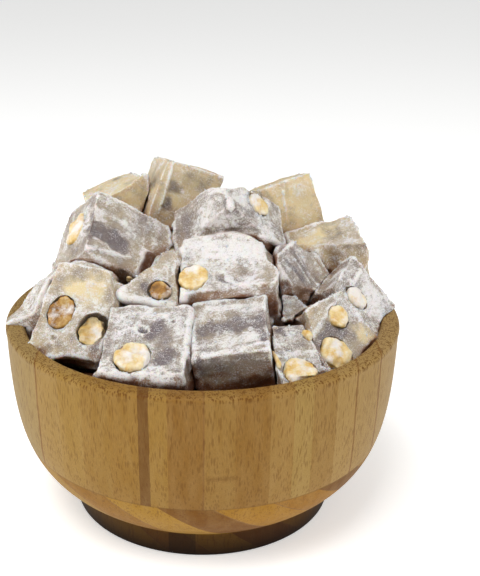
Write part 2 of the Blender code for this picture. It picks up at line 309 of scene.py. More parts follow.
def bambooMaterial():
    # turned, sanded and oiled laminated bamboo: upright strips with thin glue lines, dark fibre bundles
    # that are dashes on the wall and dots on the cut rim, and a soft satin sheen
    material, tree, shader = newMaterial("oiled laminated bamboo", Roughness=0.55, IOR=1.45, Specular_IOR_Level=0.12)
    inMm = addNode(tree, "Mapping", {"Vector": addNode(tree, "TexCoord")["Object"], "Scale": (1000,) * 3})[0]
    x, y, z = addNode(tree, "SeparateXYZ", {0: inMm})

    def calc(operation, first, second=0.0, clamp=False):
        return addNode(tree, "Math", {0: first, 1: second}, operation=operation, use_clamp=clamp)[0]

    def stretched(scale, **settings):
        place = addNode(tree, "Mapping", {"Vector": inMm, "Scale": scale})[0]
        return addNode(tree, "TexNoise", {"Vector": place, **settings.get("inputs", {})})["Fac"]

    def blend(factor, first, second, mode="MIX"):
        node = addNode(tree, "Mix", {"Factor": factor, "A": first, "B": second}, data_type="RGBA", blend_type=mode)
        return node[2]

    def ramp(factor, *stops, interpolation="LINEAR"):
        output = addNode(tree, "ValToRGB", {"Fac": factor}, stops=stops)
        output[0].node.color_ramp.interpolation = interpolation
        return output[0]

    # the wall's upright strips
    wander = calc("MULTIPLY", calc("SUBTRACT", stretched((0.05, 0.05, 0.02)), 0.5), 0.5)
    across = calc("DIVIDE", calc("ADD", calc("ADD", x, wander), 72.0), 144.0)
    wall = ramp(across, *stripStops(bowl["strips"], bowl["glueWidth"]), interpolation="CONSTANT")
    # the base block's slanting strips
    slant = calc("ADD", calc("MULTIPLY", x, 0.9), calc("MULTIPLY", calc("SUBTRACT", z, 20.0), 1.15))
    slant = calc("DIVIDE", calc("ADD", calc("ADD", slant, calc("MULTIPLY", y, 0.16)), 72.0), 144.0)
    base = ramp(slant, *stripStops(bowl["baseStrips"], bowl["glueWidth"]), interpolation="CONSTANT")
    inBase = calc("LESS_THAN", z, bowl["seamHeight"])
    color = blend(inBase, wall, base)
    # soft clouds of tone, then fine fibres drawn out along the cane
    clouds = stretched((0.06, 0.06, 0.012), inputs={"Detail": 3.0})
    color = blend(ramp(clouds, (0.35, "#000000"), (0.7, "#707070")), color, "#c3a36c")
    upright = stretched((2.3, 2.3, 0.05), inputs={"Detail": 5.0, "Roughness": 0.7})
    lying = stretched((0.035, 1.5, 1.5), inputs={"Detail": 5.0, "Roughness": 0.7})
    fibres = addNode(tree, "Mix", {"Factor": inBase, "A": upright, "B": lying})[0]
    color = blend(0.62, color, ramp(fibres, (0.3, "#8c8c8c"), (0.5, "#dadada"), (0.7, "#ffffff")), "MULTIPLY")
    # fibre bundles
    spacing = 1 / bowl["fibreSpacing"]
    place = addNode(tree, "Mapping", {"Vector": inMm, "Scale": (spacing, spacing, 0.24)})[0]
    cells = addNode(tree, "TexVoronoi", {"Vector": place, "Scale": 1.0, "Randomness": 1.0})
    density = stretched((0.12, 0.12, 0.03), inputs={"Detail": 2.0})
    bundle = calc("SUBTRACT", calc("MULTIPLY", density, 0.86), cells["Distance"])
    bundle = calc("ADD", bundle, calc("MULTIPLY", calc("GREATER_THAN", z, bowl["height"] - 1.8), 0.08))
    onRim = addNode(tree, "MapRange", {"Value": z, "From Min": bowl["height"] - 2.2, "From Max": bowl["height"] - 0.6,
                                       "To Min": 0.42, "To Max": 0.85})[0]
    bundle = calc("MULTIPLY", calc("MULTIPLY", bundle, 4.0, clamp=True), onRim)
    color = blend(bundle, color, "#5f3810")
    # the knuckle of the cane on one strip: a wavy band across it
    wave = calc("MULTIPLY", calc("SUBTRACT", stretched((0.4, 0.4, 0.4)), 0.5), 3.0)
    band = calc("ABSOLUTE", calc("SUBTRACT", calc("ADD", z, wave), bowl["knuckleAt"][1]))
    band = calc("SUBTRACT", 1.0, calc("DIVIDE", band, 1.3), clamp=True)
    aside = calc("ABSOLUTE", calc("SUBTRACT", x, bowl["knuckleAt"][0]))
    band = calc("MULTIPLY", band, calc("LESS_THAN", aside, 5.0))
    color = blend(calc("MULTIPLY", band, 0.4), color, "#5f3810")
    # glue seam between the wall block and the base block
    seam = calc("ABSOLUTE", calc("SUBTRACT", z, bowl["seamHeight"]))
    seam = calc("SUBTRACT", 1.0, calc("DIVIDE", seam, 0.45), clamp=True)
    color = blend(calc("MULTIPLY", seam, 0.55), color, "#6b4a22")
    # painted shade: the foot and the bottom of the base go darker towards the floor, standing in for the shadow under
    # the bowl
    low = calc("DIVIDE", z, 22.0)
    footShadeAmount = ramp(low, (0.0, "#ffffff"), (0.37, "#e6e6e6"), (0.44, "#808080"), (0.75, "#404040"), (1.0, "#000000"))
    footShadeTone = ramp(low, (0.0, bowl["footShadeDark"]), (0.4, bowl["footShadeColor"]))
    color = blend(footShadeAmount, color, footShadeTone)
    # painted shade: a band of the foot near x = -7 mm is darkened further with the same dark foot tone
    darkStrip = calc("LESS_THAN", calc("ABSOLUTE", calc("ADD", x, 7.0)), 4.6)
    darkStrip = calc("MULTIPLY", darkStrip, calc("LESS_THAN", z, 10.5))
    color = blend(calc("MULTIPLY", darkStrip, 0.5), color, bowl["footShadeDark"])
    tree.links.new(color, shader.inputs["Base Color"])
    relief = calc("SUBTRACT", calc("MULTIPLY", fibres, 0.6), calc("MULTIPLY", bundle, 0.8))
    bump = addNode(tree, "Bump", {"Height": relief, "Strength": 0.35, "Distance": 0.12 * mm})[0]
    tree.links.new(bump, shader.inputs["Normal"])
    return material


def makeBowl():
    bm = bmesh.new()
    points = [bm.verts.new((r * mm, 0, z * mm)) for r, z in bowlProfile()]
    for first, second in zip(points, points[1:]):
        bm.edges.new((first, second))
    mesh = bpy.data.meshes.new("bowl")
    bm.to_mesh(mesh)
    bm.free()
    work = bpy.data.objects.new("bowl_work", mesh)
    bpy.context.scene.collection.objects.link(work)
    turn = work.modifiers.new("Turn", "SCREW")
    turn.steps = bowl["turnSteps"]
    turn.render_steps = bowl["turnSteps"]
    turn.use_merge_vertices = True
    turn.merge_threshold = 0.00002
    newPiece("bamboo_bowl", evaluatedMesh(work), bambooMaterial(), "bowl")
    print("bowl turned")


# ---- what the marks on a block do ----

# How far a mark lifts the surface in millimetres, and what it adds to the icing sugar that lies there, to the damp
# dark gel, to the warm clear gel and to the painted shade of the gaps and the low fronts.
markKinds = dict(
    ridge=dict(lift=0.55, dust=0.55), powder=dict(lift=0.1, dust=0.6), damp=dict(lift=-0.15, dust=-0.65, damp=0.95),
    hollow=dict(lift=-1.1, dust=-0.4, damp=0.6), hole=dict(lift=-2.6, dust=-0.6, damp=1.0),
    fold=dict(lift=-0.5), painted_shade=dict(dust=-0.5, shade=0.5), bare=dict(dust=-0.6), ochre=dict(dust=-0.45, warm=0.7))
creases = {"ridge", "fold"}     # these have straight flanks and a sharp line

# Each block: the middle of the block, then how it is turned about its own upright axis, rolled to the
# right and leaned towards the front, in degrees; how warm and clear its gel is; how much sugar lies on it;
# and its marks, each from one point to another in its own millimetres, with a width.
blocks = {
    "front_centre": dict(at=(11, -36, 69), turn=0, roll=-9, lean=14, warm=0.15, sugar=0.0, marks=[
        ("damp", (-8, 0, 14), (11, 1, 14), 4.5), ("damp", (9, -3, 14), (11, -9, 14), 2.5),
        ("powder", (-5, 11, 14), (11, 9, 14), 3), ("ridge", (-12, -12, 14), (-3, -13, 14), 1.2),
        ("ridge", (-3, -13, 14), (12, -11, 14), 1.3), ("powder", (-10, -8, 14), (8, -7, 14), 3),
        ("bare", (-11, -16, 4), (10, -16, 4), 8), ("painted_shade", (-12, -16, -4), (12, -16, -5), 9)]),
    "front_left": dict(at=(-17, -38, 67), turn=-5, roll=-5, lean=20, warm=0.1, sugar=0.05, marks=[
        ("hole", (-2, 4, 14), (-1, 4, 14), 1.5), ("hole", (8, 8, 14), (8, 8, 14), 1.0),
        ("damp", (6, -10, 14), (9, -6, 14), 3.2), ("damp", (1, 2, 14), (4, 8, 14), 2.6),
        ("ridge", (-13, -14, 14), (12, -13, 14), 1.4), ("ridge", (13, -12, 14), (13, 10, 14), 1.2),
        ("ridge", (0, 14, 14), (-4, 6, 14), 1.1), ("painted_shade", (-12, -17, 0), (12, -17, 0), 9)]),
    "front_right": dict(at=(28, -41, 63), turn=15, roll=4, lean=18, warm=0.1, sugar=0.1, marks=[
        ("ridge", (-6, -1, 14), (6, -1, 14), 1.6), ("powder", (-2, 6, 14), (0, 1, 14), 4),
        ("damp", (-1, 11, 14), (0, 9, 14), 2)]),
    "middle": dict(at=(10, -9, 84), turn=0, roll=-8, lean=22, warm=0.2, sugar=0.25,
                   pulls=[((0, 15, 12), (0, 16, 14.5), 15), ((17, -6, 12), (20, -7, 13), 9)], marks=[
        ("hollow", (-2, -7, 12), (2, -9, 12), 2.4), ("ridge", (-2, -4.5, 12), (6, -13, 12), 1.2),
        ("powder", (-12, 8, 12), (8, 6, 12), 6), ("bare", (13, -8, 11), (15, 2, 10), 4.5),
        ("painted_shade", (-14, -16, 4), (12, -16, 4), 7)]),
    "right_front": dict(at=(41, -25, 68), turn=39, roll=26, lean=40, warm=0.3, sugar=-0.1, marks=[
        ("damp", (-3, 3, 12), (-11, -4, 12), 4.2), ("damp", (2, 4, 12), (-1, 0, 12), 2.8),
        ("damp", (-12, 2, 11), (-12, -8, 10), 3),
        ("ridge", (-12, 4, 12), (8, 11, 12), 1.2), ("bare", (6, -3, 12), (2, -9, 12), 5),
        ("ochre", (8, -4, 12), (10, -6, 10), 4), ("ridge", (12, 2, 12), (6, -11, 12), 1.2)]),
    "left_front": dict(at=(-40, -17, 75), turn=-17, roll=-12, lean=50, warm=0.45, sugar=-0.05,
                       pulls=[((14, 6, 4), (19, 7, 3), 17), ((-5, -17, 11), (-5, -19.5, 10.5), 10)], marks=[
        ("ridge", (0, -0.5, 12), (12, 0, 12), 1.6), ("damp", (14, 2, 12), (12, -12, 12), 4.2),
        ("hole", (-5, -11, 12), (-4.5, -11, 12), 1.2), ("hollow", (-7, -17, 11), (-5, -15, 12), 2),
        ("ridge", (-7, 12, 12), (10, 9, 12), 1.3), ("ochre", (4, 8, 12), (-4, 7, 12), 5)]),
    "upper_left": dict(at=(-34, 8, 92), turn=-12, roll=34, lean=48, warm=0.2, sugar=0.0,
                       pulls=[((15, -13, 10), (18, -15, 10), 13), ((15, 4, 12), (18, 4, 13), 12)], marks=[
        ("hollow", (-11, -3, 14), (-2, -4, 14), 3.6), ("damp", (-12, -2, 14), (-1, -3, 14), 4),
        ("damp", (-15, 3, 12), (-14, -5, 13), 2.6), ("ridge", (-13, 5, 14), (-2, 5, 14), 1.4),
        ("ridge", (-15, -11, 13), (3, -7, 14), 1.3), ("bare", (-12, -14, 10), (8, -14, 10), 6),
        ("fold", (9, 8, 14), (9, -6, 14), 1.6)]),
    "upper_middle": dict(at=(10, 13, 98), turn=9, roll=46, lean=35, warm=0.15, sugar=0.2,
                         pulls=[((-15, 8, 14), (-13, 6, 11), 10)], marks=[
        ("ridge", (-15, -9, 13), (-14, 8, 13), 1.4), ("powder", (-16, 5, 5), (-8, 5, 14), 7),
        ("ridge", (-16, -9, 10), (-8, -9.5, 14.5), 1.2), ("ridge", (-8, -9.5, 14.5), (8, -9.5, 14.5), 1.2),
        ("painted_shade", (-15, -11, 8), (-2, -11, 11), 2.4), ("damp", (0, -11, 11), (9, -11, 11), 2.8)]),
    "middle_left": dict(at=(-12, -8, 83), turn=-16, roll=5, lean=46, warm=0.35, sugar=0.0,
                        pulls=[((-12, 10, 12), (-6, 7, 10), 16), ((-12, -12, 12), (-15, -13, 12), 9)], marks=[
        ("fold", (-3, 8, 12), (1, -2, 12), 1.0), ("fold", (0, 8, 12), (4, 1, 12), 0.9),
        ("ridge", (-9, -11, 12), (4, -10, 12), 1.3), ("damp", (-7, -6, 12), (-5, -8, 12), 1.8)]),
    "right_side": dict(at=(51, -2, 70), turn=58, roll=37, lean=28, warm=0.1, sugar=0.15, marks=[
        ("ridge", (-13, 6, 12), (10, 8, 12), 1.2), ("powder", (2, -8, 12), (6, 0, 12), 5)]),
    "right_gap": dict(at=(27, -20, 70), turn=28, roll=10, lean=17, warm=0.1, sugar=0.1, marks=[]),
    "middle_right": dict(at=(29, 4, 79), turn=48, roll=44, lean=37, warm=0.1, sugar=-0.05, marks=[
        ("damp", (-13, 2, 9), (-13, -4, 8), 2.6), ("damp", (-7, 8, 13), (-5, 0, 13), 1.6),
        ("ridge", (-2, 8, 13), (-2, -8, 13), 1.0), ("ridge", (1, 8, 13), (1, -8, 13), 0.9)]),
    "upper_right": dict(at=(49, 18, 82), turn=7, roll=-15, lean=11, warm=0.55, sugar=-0.05,
                        pulls=[((13, -15, -6), (8, -12, -4), 15)], marks=[
        ("fold", (-8, -11, 12), (11, -14, 11), 1.8), ("damp", (2, -8, 12), (11, -11, 11), 3.4),
        ("damp", (-3, -16, 8), (9, -16, 5), 3.6), ("hollow", (-9, -13, 12), (-5, -15, 12), 2.2),
        ("ridge", (-4, -15, 11), (3, -16, 4), 1.2), ("ridge", (-9, -15, 8), (-4, -16, 0), 1.1),
        ("ridge", (-8, -8, 12), (4, -7, 12), 1.3), ("ochre", (-8, 4, 12), (2, 8, 12), 5)]),
    "left_side": dict(at=(-51, -4, 71), turn=0, roll=45, lean=0, warm=0.25, sugar=0.25,
                      pulls=[((-14, 11, -14), (-5, 8, -5), 17), ((-14, -11, -2), (-10, -11, -2), 11)], marks=[
        ("powder", (-8, -11, -4), (-11, -11, 9), 6)]),
    "top": dict(at=(-10, 40, 103), turn=17, roll=19, lean=-16, warm=0.8, sugar=-0.3, marks=[
        ("damp", (-7, -14, 4), (-4, -14, 2), 2.4), ("damp", (-6, -14, -3), (-6, -14, -5), 2.6),
        ("ridge", (-9, -13, 11), (-8, -13, -8), 1.0)]),
    "back_right": dict(at=(34, 44, 96), turn=8, roll=-20, lean=-12, warm=0.95, sugar=-0.4, marks=[
        ("ridge", (-2, -13, 9), (-5, -13, -6), 0.9), ("fold", (-1, -13, 9), (-4, -13, -6), 0.9)]),
    "back_left": dict(at=(-31, 39, 94), turn=14, roll=-19, lean=0, warm=0.95, sugar=-0.3,
                      pulls=[((12, -13, 15), (14, -13, 18), 12), ((-12, -13, 15), (-11, -12, 12), 12)], marks=[
        ("fold", (2, -14, 14), (3, -14, 0), 1.2), ("powder", (5, -14, 3), (4, -14, -3), 3)]),
    "deep_middle": dict(at=(-9, 17, 80), turn=18, roll=13, lean=6, warm=0.8, sugar=-0.5, marks=[]),
    "rear_centre": dict(at=(6, 46, 77), turn=12, roll=-4, lean=-8, warm=0.4, sugar=0.0, marks=[]),
    "rear_left": dict(at=(-23, 45, 76), turn=-18, roll=6, lean=-6, warm=0.3, sugar=0.0, marks=[]),
    "rear_right": dict(at=(34, 39, 73), turn=-30, roll=4, lean=-4, warm=0.5, sugar=0.0, marks=[]),
    "rear_left_side": dict(at=(-41, 27, 70), turn=35, roll=-4, lean=8, warm=0.3, sugar=0.1, marks=[]),
    "rear_right_side": dict(at=(53, 16, 62), turn=16, roll=5, lean=0, warm=0.2, sugar=0.1, marks=[]),
    "back_gap": dict(at=(26, 26, 84), turn=-20, roll=12, lean=-6, warm=0.6, sugar=-0.2, marks=[]),
}
bareBlocks = {"top", "back_right", "back_left", "deep_middle"}
sweetWork = dict(voxel=0.55, quickVoxel=0.8, lumps=0.8, warp=0.7, crust=0.2, grain=0.12, dish=0.6, chip=1.3, crestReach=7,
                 rounding=11, sharpness=26, pressReach=7.0, pressMost=2.4,
                 shelterReach=15, shelterSamples=900, rays=26)


def blockMatrix(block):
    turn = Matrix.Rotation(math.radians(block["turn"]), 4, "Z")
    roll = Matrix.Rotation(math.radians(block["roll"]), 4, "Y")
    lean = Matrix.Rotation(math.radians(block["lean"]), 4, "X")
    return Matrix.Translation(Vector(block["at"]) * mm) @ lean @ roll @ turn


def toLocal(points, matrix):
    # world points in metres to a block's own millimetres
    inverse = np.array(matrix.inverted())
    return (points @ inverse[:3, :3].T + inverse[:3, 3]) / mm


def toWorld(local, matrix):
    matrix = np.array(matrix)
    return (local * mm) @ matrix[:3, :3].T + matrix[:3, 3]


def markAmounts(local, marks, jitter):
    amounts = {key: np.zeros(len(local)) for key in ("lift", "dust", "damp", "warm", "shade")}
    for kind, start, end, width in marks:
        start, end = np.array(start, float), np.array(end, float)
        along = end - start
        share = np.clip(((local - start) @ along) / max(along @ along, 1e-6), 0, 1)
        away = np.linalg.norm(local - start - share[:, None] * along, axis=1)
        strength = 1.25 - away * (1 + 0.5 * jitter) / width
        strength = np.clip(strength, 0, 1) if kind in creases else ease(strength)
        for key, value in markKinds[kind].items():
            amounts[key] += value * strength
    return amounts


def rayFan(count):
    # even directions over a sphere
    golden = math.pi * (3 - math.sqrt(5))
    fan = []
    for i in range(count):
        height = 1 - 2 * (i + 0.5) / count
        across = math.sqrt(1 - height * height)
        fan.append(Vector((math.cos(golden * i) * across, math.sin(golden * i) * across, height)))
    return fan


def shelterOf(surface, solids):
    # 0 in the open to 1 deep between the blocks
    chance = random.Random(5)
    step = max(1, surface.count // sweetWork["shelterSamples"])
    picked = list(range(chance.randrange(step), surface.count, step))
    normals = surface.normals()
    fan = rayFan(sweetWork["rays"])
    found = kdtree.KDTree(len(picked))
    values = []
    for i, index in enumerate(picked):
        point = Vector(surface.points[index])
        normal = Vector(normals[index])
        start = point + normal * 0.9 * mm
        shut = total = 0
        for ray in fan:
            facing = ray.dot(normal)
            if facing > 0.08:
                total += facing
                hit = solids.ray_cast(start, ray, sweetWork["shelterReach"] * mm)
                if hit[0] is not None:
                    shut += facing * (1 - 0.6 * hit[3] / (sweetWork["shelterReach"] * mm))
        values.append(shut / total)
        found.insert(point, i)
    found.balance()
    shelter = np.empty(surface.count)
    for i, point in enumerate(surface.points):
        near = found.find_n(point, 4)
        weights = [1 / (distance + 0.2 * mm) for _, _, distance in near]
        shelter[i] = sum(w * values[n[1]] for w, n in zip(weights, near)) / sum(weights)
    return surface.smoothed(shelter, 4)[:, 0]


def squared(local):
    # sharpen the rounded edges: further out where two or three sides meet
    half = np.abs(local).max(0)
    share = np.abs(local) / half
    soft = (share ** sweetWork["rounding"]).sum(1) ** (1 / sweetWork["rounding"])
    hard = (share ** sweetWork["sharpness"]).sum(1) ** (1 / sweetWork["sharpness"])
    return local * (soft / hard)[:, None]


def pulled(local, pulls):
    # draw the surface out from one point to another, like dough between two fingers
    moved = local.copy()
    for start, end, width in pulls:
        start, end = np.array(start, float), np.array(end, float)
        strength = ease(1 - np.linalg.norm(local - start, axis=1) / width)
        moved += (end - start) * strength[:, None]
    return moved


def neighbourTree(own):
    points, faces = [], []
    for name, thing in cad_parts.items():
        if name == own or name.startswith("nut"):
            continue
        start = len(points)
        points += [v.co.copy() for v in thing.data.vertices]
        faces += [[start + i for i in p.vertices] for p in thing.data.polygons]
    return BVHTree.FromPolygons(points, faces)


def pressOut(surface, neighbours):
    # soft blocks settle until they touch: each side swells half of the way to its neighbour
    normals = surface.normals()
    most = sweetWork["pressReach"] * mm
    push = np.zeros(surface.count)
    for i, (point, normal) in enumerate(zip(surface.points, normals)):
        hit = neighbours.ray_cast(Vector(point), Vector(normal), most)
        if hit[0] is not None:
            push[i] = min(max(hit[3] / 2 - 0.1 * mm, 0), sweetWork["pressMost"] * mm)
    push = surface.smoothed(push, 6)[:, 0]
    surface.write(surface.points + normals * push[:, None])


def edgeShares(local, seed):
    # how near each point is to an edge of its block, where the edge is chipped, and how low on a side it is
    share = np.abs(local) / np.abs(local).max(0)
    second = np.sort(share, axis=1)[:, 1]
    rims = ease((second - 0.72) / 0.24)
    chips = rims * np.clip(noiseAt(local, 3.2, seed + 30) - 0.12, 0, 1)
    # how low on a side a point is, used to paint shade towards the bottom of the sides
    onSide = 1 - ease((share[:, 2] * np.sign(local[:, 2]) - 0.8) / 0.2)
    low = onSide * ease((0.9 - local[:, 2] / np.abs(local[:, 2]).max()) / 1.7)
    return rims, chips, low


def makeBlock(name, index, block, materials):
    voxel = sweetWork["voxel"]
    surface = Surface(remeshed("sweet_" + name, voxel))
    surface.write(surface.smoothed(surface.points, 1, 0.4))
    matrix = blockMatrix(block)
    local = pulled(squared(toLocal(surface.points, matrix)), block.get("pulls", []))
    surface.write(toWorld(local, matrix))
    neighbours = neighbourTree("sweet_" + name)
    pressOut(surface, neighbours)
    shelter = shelterOf(surface, neighbours)
    local = toLocal(surface.points, matrix)
    seed = index + 1
    jitter = noiseAt(local, 2.6, seed)
    marks = markAmounts(local, block["marks"], jitter)
    rims, chips, low = edgeShares(local, seed)
    # broad lumps, a crust of damp sugar with sharp little ridges, and a fine grain
    lumps = noiseAt(local, 8.0, seed + 20)
    crust = 1 - 2 * np.abs(fractalAt(local * (1, 1.3, 1), 3.6, seed + 40, 5))
    grain = fractalAt(local, 1.1, seed + 60, 3)
    rough = sweetWork["crust"] * (1 - 0.75 * shelter) * np.clip(1.0 + 1.6 * block["sugar"], 0.3, 1.3)
    smoothSide = np.clip(-marks["dust"], 0, 1)
    rough *= 1 - 0.7 * smoothSide
    patches = fractalAt(local, 7.5, seed + 80)
    rough *= np.clip(0.75 + patches, 0.25, 1.5)
    warp = noiseAt(local, 17.0, seed + 100)
    lift = (sweetWork["lumps"] * lumps + sweetWork["warp"] * warp + rough * (crust - 0.35) + sweetWork["grain"] * grain * (1 - 0.5 * smoothSide)
            + (sweetWork["dish"] * (rims - 0.75) - sweetWork["chip"] * chips) * (1 - shelter)
            + marks["lift"] * (1 + 0.4 * jitter))
    lift = np.minimum(lift, 0.6 - 0.5 * shelter)
    moved = surface.points + surface.normals() * (lift * mm)[:, None]
    surface.write(np.clip(moved, cadBox[0], cadBox[1]))
    surface.write(surface.smoothed(surface.points, 1, 0.35))
    crests = surface.crests(sweetWork["crestReach"])
    fine = surface.crests(2)
    # painted shade: less sugar low on the sides and between the blocks, so the darker gel shows there
    dust = (0.42 + block["sugar"] + 0.2 * rims - 0.25 * low + marks["dust"] + 1.2 * np.clip(crests, -0.4, 0.5)
            + 5.0 * np.clip(fine, -0.06, 0.12) + 0.9 * patches - 0.7 * shelter)
    surface.paint("dust", np.clip(dust, 0, 1.2))
    surface.paint("damp", np.clip(marks["damp"] + 0.8 * np.clip(-patches, 0, 1), 0, 1))
    surface.paint("warm", np.clip(block["warm"] + marks["warm"] + 0.3 * noiseAt(local, 11, seed + 9), 0, 1))
    # painted shade: how shut in a point is, plus the shade of the marks, turns the gel amber and dark brown
    surface.paint("shelter", np.clip(shelter + marks["shade"], 0, 1))
    surface.paint("local", local)
    slot = "bare_gel" if name in bareBlocks else "dusted_gel"
    newPiece("block_" + name, surface.mesh, materials[slot], "sweet_" + name)
    # where loose sugar can lie
    normals = surface.normals()
    open = np.flatnonzero((normals[:, 2] > 0.2) & (dust > 0.7) & (shelter < 0.3))
    chance = random.Random(seed)
    picked = chance.sample(list(open), min(len(open), crumbs["perBlock"]))
    return [(Vector(surface.points[i]), Vector(normals[i])) for i in picked]


gel = dict(clearWarm="#e0cc9f", clearGrey="#978b82", dampDark="#5f545c", shadeAmber="#946234", shadeBrown="#55290c",
           sugar="#ebe8e6", crystal="#f6f4f3")


def gelMaterial(name, sugarShift, roughness, scatter):
    # starch gel set in a tray, cut into blocks and rolled in icing sugar: cloudy amber gel that is dark and
    # purplish where it is damp, under a crust of white sugar that catches on every ridge and edge
    material, tree, shader = newMaterial(
        name, Roughness=roughness, IOR=1.46, Subsurface_Weight=scatter, Subsurface_Scale=1.0,
        Subsurface_Radius=(3.6 * mm, 2.0 * mm, 1.0 * mm), Specular_IOR_Level=0.35)

    def attribute(label):
        return addNode(tree, "Attribute", attribute_name=label)

    def calc(operation, first, second=0.0, clamp=False):
        return addNode(tree, "Math", {0: first, 1: second}, operation=operation, use_clamp=clamp)[0]

    def blend(factor, first, second):
        return addNode(tree, "Mix", {"Factor": factor, "A": first, "B": second}, data_type="RGBA")[2]

    local = attribute("local")["Vector"]
    dust, damp = attribute("dust")["Fac"], attribute("damp")["Fac"]
    warm, shelter = attribute("warm")["Fac"], attribute("shelter")["Fac"]
    # crust of sugar: flecks of about 2 mm, then grains of 0.5 mm, coarser than real ones so that they show
    flecks = addNode(tree, "TexNoise", {"Vector": local, "Scale": 0.33, "Detail": 7.0, "Roughness": 0.62,
                                        "Distortion": 0.6})["Fac"]
    grains = addNode(tree, "TexNoise", {"Vector": local, "Scale": 2.5, "Detail": 2.0, "Roughness": 0.8})["Fac"]
    brushed = addNode(tree, "Mapping", {"Vector": local, "Rotation": (0.5, 0.4, 0.8), "Scale": (0.3, 1.3, 1.3)})[0]
    streaks = addNode(tree, "TexNoise", {"Vector": brushed, "Scale": 1.0, "Detail": 5.0, "Roughness": 0.7,
                                         "Distortion": 0.5})["Fac"]
    cover = calc("ADD", dust, calc("MULTIPLY", calc("SUBTRACT", flecks, 0.5), 1.7))
    cover = calc("ADD", cover, calc("MULTIPLY", calc("SUBTRACT", grains, 0.5), 4.2))
    cover = calc("ADD", cover, calc("MULTIPLY", calc("SUBTRACT", streaks, 0.5), 1.0))
    cover = calc("ADD", cover, sugarShift)
    cover = addNode(tree, "MapRange", {"Value": cover, "From Min": 0.05, "From Max": 0.98})[0]
    body = blend(warm, gel["clearGrey"], gel["clearWarm"])
    dampPatch = calc("ADD", damp, calc("MULTIPLY", calc("SUBTRACT", flecks, 0.55), 1.2), clamp=True)
    body = blend(calc("MULTIPLY", dampPatch, 0.85), body, gel["dampDark"])
    # painted light and shade: the gel is tinted amber towards the gaps, a painted stand-in for light glowing out of
    # the gel where the blocks shade each other
    amber = addNode(tree, "MapRange", {"Value": shelter, "From Min": 0.12, "From Max": 0.6})[0]
    body = blend(calc("MULTIPLY", amber, 0.85), body, gel["shadeAmber"])
    color = blend(calc("MULTIPLY", cover, 0.94), body, gel["sugar"])
    # loose crystals
    specks = addNode(tree, "TexVoronoi", {"Vector": local, "Scale": 1.0, "Randomness": 1.0})["Distance"]
    specks = calc("MULTIPLY", calc("SUBTRACT", 0.17, specks), 9.0, clamp=True)
    color = blend(calc("MULTIPLY", specks, calc("MULTIPLY", cover, 0.8, clamp=True)), color, gel["crystal"])
    # painted shade: the colour goes dark brown where the blocks lie against each other, standing in for the shade
    # between them
    shut = addNode(tree, "MapRange", {"Value": shelter, "From Min": 0.25, "From Max": 0.85},
                   interpolation_type="SMOOTHSTEP")[0]
    color = blend(calc("MULTIPLY", shut, 0.9), color, gel["shadeBrown"])
    tree.links.new(color, shader.inputs["Base Color"])
    rough = addNode(tree, "MapRange", {"Value": cover, "To Min": roughness, "To Max": 0.95})[0]
    tree.links.new(rough, shader.inputs["Roughness"])
    height = calc("ADD", calc("MULTIPLY", flecks, 0.7), calc("MULTIPLY", grains, 0.6))
    height = calc("ADD", height, calc("MULTIPLY", streaks, 0.3))
    height = calc("MULTIPLY", height, calc("ADD", calc("MULTIPLY", cover, 0.7), 0.3))
    bump = addNode(tree, "Bump", {"Height": height, "Strength": 0.5, "Distance": 0.7 * mm})[0]
    tree.links.new(bump, shader.inputs["Normal"])
    return material


def makeBlocks():
    materials = {
        "dusted_gel": gelMaterial("cut starch gel crusted with icing sugar", 0.0, 0.5, 0.5),
        "bare_gel": gelMaterial("cut starch gel thinly dusted", -0.08, 0.42, 0.6),
        "gel_in_shade": gelMaterial("starch gel deep in the bowl", -0.2, 0.5, 0.0),
    }
    spots = []
    for index, (name, block) in enumerate(blocks.items()):
        spots += makeBlock(name, index, block, materials)
    print("blocks shaped:", len(blocks))
    makeBuried(materials["gel_in_shade"])
    makeCrumbs(spots, materials["dusted_gel"])


crumbs = dict(perBlock=44, smallest=0.14, largest=0.48, rough=0.12)


def makeCrumbs(spots, material):
    # lumps of damp sugar stuck to the blocks
    bm = bmesh.new()
    chance = random.Random(3)
    for point, normal in spots:
        size = crumbs["smallest"] + (crumbs["largest"] - crumbs["smallest"]) * chance.random() ** 2.5
        place = Matrix.Translation(point + normal * 0.3 * size * mm)
        bmesh.ops.create_icosphere(bm, subdivisions=1, radius=size * mm, matrix=place)
    for vertex in bm.verts:
        vertex.co += noise.noise_vector(vertex.co / (0.4 * mm)) * crumbs["rough"] * mm
    mesh = bpy.data.meshes.new("sugar")
    bm.to_mesh(mesh)
    bm.free()
    surface = Surface(mesh)
    surface.write(np.clip(surface.points, cadBox[0], cadBox[1]))
    surface.paint("dust", np.full(surface.count, 1.2))
    surface.paint("local", surface.points / mm)
    newPiece("sugar_crumbs", mesh, material)
    print("crumbs of sugar:", len(spots))


def makeBuried(material):
    surface = Surface(remeshed("buried_sweets", 1.6))
    shelter = shelterOf(surface, neighbourTree("buried_sweets"))
    local = surface.points / mm
    lift = 1.2 * noiseAt(local, 9, 3) - 0.9 + 0.5 * fractalAt(local, 3, 4)
    surface.write(surface.points + surface.normals() * (np.minimum(lift, 0) * mm)[:, None])
    # painted shade: the buried blocks get little sugar and extra shade, so they read as dark in the gaps
    surface.paint("dust", np.clip(0.35 - shelter, 0, 1))
    surface.paint("damp", np.full(surface.count, 0.4))
    surface.paint("warm", np.full(surface.count, 0.5))
    surface.paint("shelter", np.clip(shelter + 0.25, 0, 1))
    surface.paint("local", local)
    newPiece("buried_blocks", surface.mesh, material, "buried_sweets")
    print("buried blocks shaped")


# ---- nuts ----

